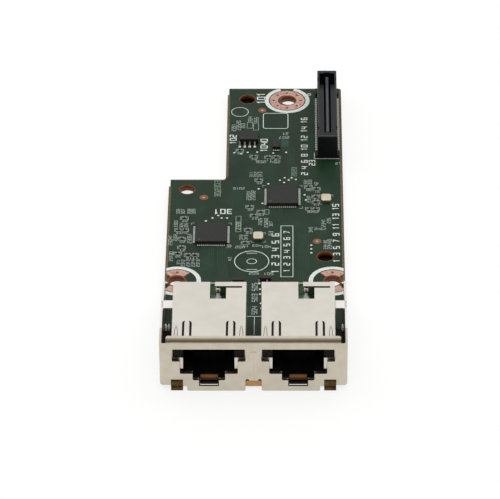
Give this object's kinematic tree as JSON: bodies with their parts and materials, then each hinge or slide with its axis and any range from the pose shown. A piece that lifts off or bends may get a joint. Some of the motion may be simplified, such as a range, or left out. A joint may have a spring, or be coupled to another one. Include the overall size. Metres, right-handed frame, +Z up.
{
  "type": "mezzanine network card",
  "caption": "Stepped network card with shielded jacks behind a folded steel bracket and a tall board-to-board connector at its rear corner.",
  "frame": {"origin": "middle of the card's outline, on the surface that the panel's lower tabs stand on", "axes": "+X across the card to the connector's side, +Y from the front panel to the rear edge, +Z up from the board"},
  "size_m": [0.0438, 0.1242, 0.015],
  "materials": {
    "board_laminate": "green solder mask over glass laminate",
    "plated_steel": "zinc-plated sheet",
    "bronze_strip": "dark spring bronze",
    "tinned_sheet": "tinned thin sheet",
    "black_moulding": "black glass-filled moulding",
    "window_plastic": "clear light pipe over dark",
    "gold_plate": "gold-plated contact",
    "tinned_lead": "tinned lead",
    "chip_moulding": "dark epoxy",
    "crystal_ceramic": "brown ceramic base",
    "crystal_lid": "plain metal lid",
    "capacitor_ceramic": "tan ceramic",
    "resistor_ceramic": "black coated ceramic"
  },
  "bodies": {
    "root": {"bracket_clip_left": "bronze_strip", "bracket_clip_right": "bronze_strip", "capacitor_bodies": "capacitor_ceramic", "capacitor_ends": "tinned_lead", "circuit_board": "board_laminate", "crystal_bases": "crystal_ceramic", "crystal_lids": "crystal_lid", "front_bracket": "plated_steel", "front_chip_body": "chip_moulding", "front_chip_terminals": "tinned_lead", "jack_contacts_left": "gold_plate", "jack_contacts_right": "gold_plate", "jack_housing_left": "black_moulding", "jack_housing_right": "black_moulding", "jack_inner_board_left": "board_laminate", "jack_inner_board_right": "board_laminate", "jack_light_windows_left": "window_plastic", "jack_light_windows_right": "window_plastic", "jack_magnetics_left": "black_moulding", "jack_magnetics_right": "black_moulding", "jack_pins_left": "tinned_lead", "jack_pins_right": "tinned_lead", "jack_shield_left": "tinned_sheet", "jack_shield_right": "tinned_sheet", "memory_chip_body": "chip_moulding", "memory_chip_leads": "tinned_lead", "mezz_contacts_left": "gold_plate", "mezz_contacts_right": "gold_plate", "mezz_housing": "black_moulding", "rear_chip_body": "chip_moulding", "rear_chip_terminals": "tinned_lead", "regulator_body": "chip_moulding", "regulator_terminals": "tinned_lead", "resistor_bodies": "resistor_ceramic", "resistor_ends": "tinned_lead", "transistor_bodies": "chip_moulding", "transistor_leads": "tinned_lead"}
  },
  "joints": []
}
